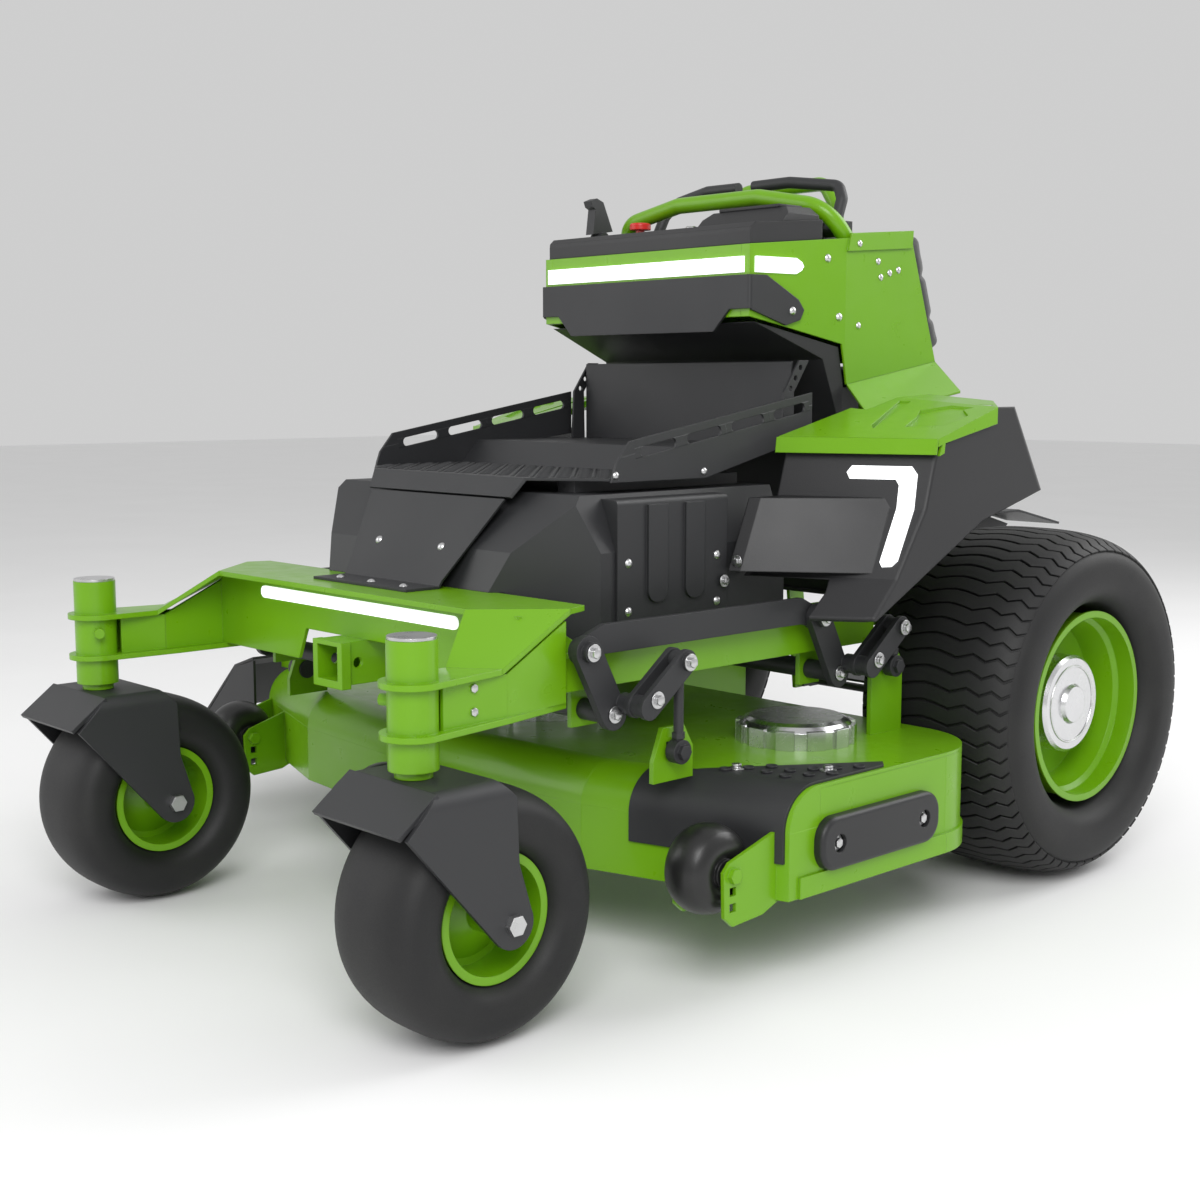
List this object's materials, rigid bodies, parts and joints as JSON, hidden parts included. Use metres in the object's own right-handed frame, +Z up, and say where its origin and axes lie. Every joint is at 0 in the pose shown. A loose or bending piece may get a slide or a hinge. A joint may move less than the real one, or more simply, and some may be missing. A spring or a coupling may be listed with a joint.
{
  "type": "stand-on zero-turn mower",
  "caption": "Stand-on battery zero-turn mower with caster front wheels, hung side-discharge deck, cargo tray, control tower with twin levers and a folding platform.",
  "frame": {"origin": "bottom centre of the whole machine, on the ground", "axes": "+Z up, +Y towards the rear, where the operator stands, +X towards the machine's left"},
  "size_m": [1.5314, 1.85, 1.1905],
  "materials": {
    "green_paint": "glossy lime green powder coat",
    "charcoal_paint": "satin charcoal powder coat",
    "moulded_plastic": "fine-grained black moulding",
    "tyre_rubber": "matte black rubber",
    "roller_plastic": "smooth black plastic",
    "zinc_steel": "zinc-plated",
    "cast_aluminium": "machined and polished casting",
    "lamp_lens": "white lamp lens",
    "red_plastic": "red button",
    "pad_cover": "soft black cushion cover",
    "battery_case": "grey battery modules",
    "blade_steel": "hardened steel"
  },
  "bodies": {
    "chassis": {"main_frame": "green_paint", "front_beam": "green_paint", "caster_bearings": "zinc_steel", "front_light_bar": "lamp_lens", "wheel_motors": "cast_aluminium", "battery_housing": "charcoal_paint", "battery_pack": "battery_case", "side_covers": "charcoal_paint", "step_panel": "charcoal_paint", "cargo_tray": "charcoal_paint", "tray_sides": "charcoal_paint", "control_tower": "green_paint", "tower_bumper": "charcoal_paint", "tower_cowl": "moulded_plastic", "marker_lights": "lamp_lens", "console_top": "moulded_plastic", "display_pod": "moulded_plastic", "grab_bars": "green_paint", "hip_pad": "pad_cover", "rear_housing": "charcoal_paint", "motor_controllers": "cast_aluminium", "pod_panels": "moulded_plastic", "pod_top_covers": "green_paint", "leg_guards": "charcoal_paint", "frame_fasteners": "zinc_steel"},
    "left_caster": {"caster_fork_left": "charcoal_paint", "caster_axle_left": "zinc_steel"},
    "right_caster": {"caster_fork_right": "charcoal_paint", "caster_axle_right": "zinc_steel"},
    "left_caster_wheel": {"caster_tyre_left": "tyre_rubber", "caster_rim_left": "green_paint"},
    "right_caster_wheel": {"caster_tyre_right": "tyre_rubber", "caster_rim_right": "green_paint"},
    "left_drive_wheel": {"drive_tyre_left": "tyre_rubber", "drive_rim_left": "green_paint", "drive_hub_left": "cast_aluminium"},
    "right_drive_wheel": {"drive_tyre_right": "tyre_rubber", "drive_rim_right": "green_paint", "drive_hub_right": "cast_aluminium"},
    "deck": {"deck_shell": "green_paint", "deck_step_plate": "charcoal_paint", "deck_bumper": "moulded_plastic", "spindle_motors": "cast_aluminium"},
    "left_blade": {"blade_left": "blade_steel"},
    "centre_blade": {"blade_centre": "blade_steel"},
    "right_blade": {"blade_right": "blade_steel"},
    "left_roller": {"scalp_roller_left": "roller_plastic"},
    "centre_roller": {"scalp_roller_centre": "roller_plastic"},
    "right_roller": {"scalp_roller_right": "roller_plastic"},
    "chute": {"discharge_chute": "moulded_plastic"},
    "front_crank": {"front_lift_crank": "charcoal_paint"},
    "rear_crank": {"rear_lift_crank": "charcoal_paint"},
    "lift_bar": {"lift_bars": "charcoal_paint"},
    "front_hanger": {"front_hangers": "charcoal_paint"},
    "rear_hanger": {"rear_hangers": "charcoal_paint"},
    "left_lever": {"drive_lever_left": "charcoal_paint"},
    "right_lever": {"drive_lever_right": "charcoal_paint"},
    "blade_switch": {"blade_lever": "charcoal_paint"},
    "stop": {"stop_button": "red_plastic"},
    "step_platform": {"platform": "charcoal_paint"}
  },
  "joints": [
    {"name": "caster_swivel_left", "type": "hinge", "parent": "chassis", "child": "left_caster", "pos_m": [0.5527, -0.835, 0.43], "axis": [0, 0, 1], "continuous": true},
    {"name": "caster_spin_left", "type": "hinge", "parent": "left_caster", "child": "left_caster_wheel", "pos_m": [0.5527, -0.757, 0.165], "axis": [1, 0, 0], "continuous": true},
    {"name": "drive_spin_left", "type": "hinge", "parent": "chassis", "child": "left_drive_wheel", "pos_m": [0.6027, 0.43, 0.292], "axis": [1, 0, 0], "continuous": true},
    {"name": "caster_swivel_right", "type": "hinge", "parent": "chassis", "child": "right_caster", "pos_m": [-0.2773, -0.835, 0.43], "axis": [0, 0, 1], "continuous": true},
    {"name": "caster_spin_right", "type": "hinge", "parent": "right_caster", "child": "right_caster_wheel", "pos_m": [-0.2773, -0.757, 0.165], "axis": [1, 0, 0], "continuous": true},
    {"name": "drive_spin_right", "type": "hinge", "parent": "chassis", "child": "right_drive_wheel", "pos_m": [-0.3273, 0.43, 0.292], "axis": [1, 0, 0], "continuous": true},
    {"name": "deck_height", "type": "slide", "parent": "chassis", "child": "deck", "axis": [0, 0, 1], "range_m": [-0.09, 0]},
    {"name": "front_lift_turn", "type": "hinge", "parent": "chassis", "child": "front_crank", "pos_m": [0.1377, -0.514, 0.384], "axis": [1, 0, 0], "range_deg": [-49.3, 0]},
    {"name": "rear_lift_turn", "type": "hinge", "parent": "chassis", "child": "rear_crank", "pos_m": [0.1377, -0.035, 0.384], "axis": [1, 0, 0], "range_deg": [-49.3, 0]},
    {"name": "lift_bar_turn", "type": "hinge", "parent": "front_crank", "child": "lift_bar", "pos_m": [0.1377, -0.561, 0.474], "axis": [1, 0, 0], "range_deg": [0, 49.3]},
    {"name": "front_hanger_swing", "type": "hinge", "parent": "front_crank", "child": "front_hanger", "pos_m": [0.1377, -0.426, 0.452], "axis": [1, 0, 0], "range_deg": [0, 39.7]},
    {"name": "rear_hanger_swing", "type": "hinge", "parent": "rear_crank", "child": "rear_hanger", "pos_m": [0.1377, 0.053, 0.452], "axis": [1, 0, 0], "range_deg": [0, 37.3]},
    {"name": "blade_spin_left", "type": "hinge", "parent": "deck", "child": "left_blade", "pos_m": [0.5327, -0.089, 0.15], "axis": [0, 0, 1], "continuous": true},
    {"name": "blade_spin_centre", "type": "hinge", "parent": "deck", "child": "centre_blade", "pos_m": [0.1027, -0.224, 0.15], "axis": [0, 0, 1], "continuous": true},
    {"name": "blade_spin_right", "type": "hinge", "parent": "deck", "child": "right_blade", "pos_m": [-0.3273, -0.089, 0.15], "axis": [0, 0, 1], "continuous": true},
    {"name": "roller_spin_left", "type": "hinge", "parent": "deck", "child": "left_roller", "pos_m": [0.6837, -0.449, 0.182], "axis": [1, 0, 0], "continuous": true},
    {"name": "roller_spin_centre", "type": "hinge", "parent": "deck", "child": "centre_roller", "pos_m": [0.0947, -0.551, 0.182], "axis": [1, 0, 0], "continuous": true},
    {"name": "roller_spin_right", "type": "hinge", "parent": "deck", "child": "right_roller", "pos_m": [-0.5023, -0.449, 0.182], "axis": [1, 0, 0], "continuous": true},
    {"name": "chute_hinge", "type": "hinge", "parent": "deck", "child": "chute", "pos_m": [-0.5743, -0.105, 0.296], "axis": [0, 1, 0], "range_deg": [0, 75]},
    {"name": "drive_lever_left", "type": "hinge", "parent": "chassis", "child": "left_lever", "pos_m": [0.1377, 0.211, 1.084], "axis": [1, 0, 0], "range_deg": [-11, 11], "stiffness_Nm_per_rad": 60},
    {"name": "drive_lever_right", "type": "hinge", "parent": "chassis", "child": "right_lever", "pos_m": [0.1377, 0.211, 1.084], "axis": [1, 0, 0], "range_deg": [-11, 11], "stiffness_Nm_per_rad": 60},
    {"name": "blade_lever_turn", "type": "hinge", "parent": "chassis", "child": "blade_switch", "pos_m": [-0.1403, 0.127, 1.094], "axis": [1, 0, 0], "range_deg": [-30, 0]},
    {"name": "stop_press", "type": "slide", "parent": "chassis", "child": "stop", "axis": [0, 0, -1], "range_m": [0, 0.006], "stiffness_N_per_m": 2000},
    {"name": "platform_fold", "type": "hinge", "parent": "chassis", "child": "step_platform", "pos_m": [0.1377, 0.657, 0.208], "axis": [1, 0, 0], "range_deg": [0, 85]}
  ],
  "couplings": [
    {"joint": "front_lift_turn", "follows": "deck_height", "rad_per_m": 9.5225},
    {"joint": "rear_lift_turn", "follows": "deck_height", "rad_per_m": 9.5225},
    {"joint": "lift_bar_turn", "follows": "deck_height", "rad_per_m": -9.5225},
    {"joint": "front_hanger_swing", "follows": "deck_height", "rad_per_m": -7.6608},
    {"joint": "rear_hanger_swing", "follows": "deck_height", "rad_per_m": -7.1954}
  ]
}
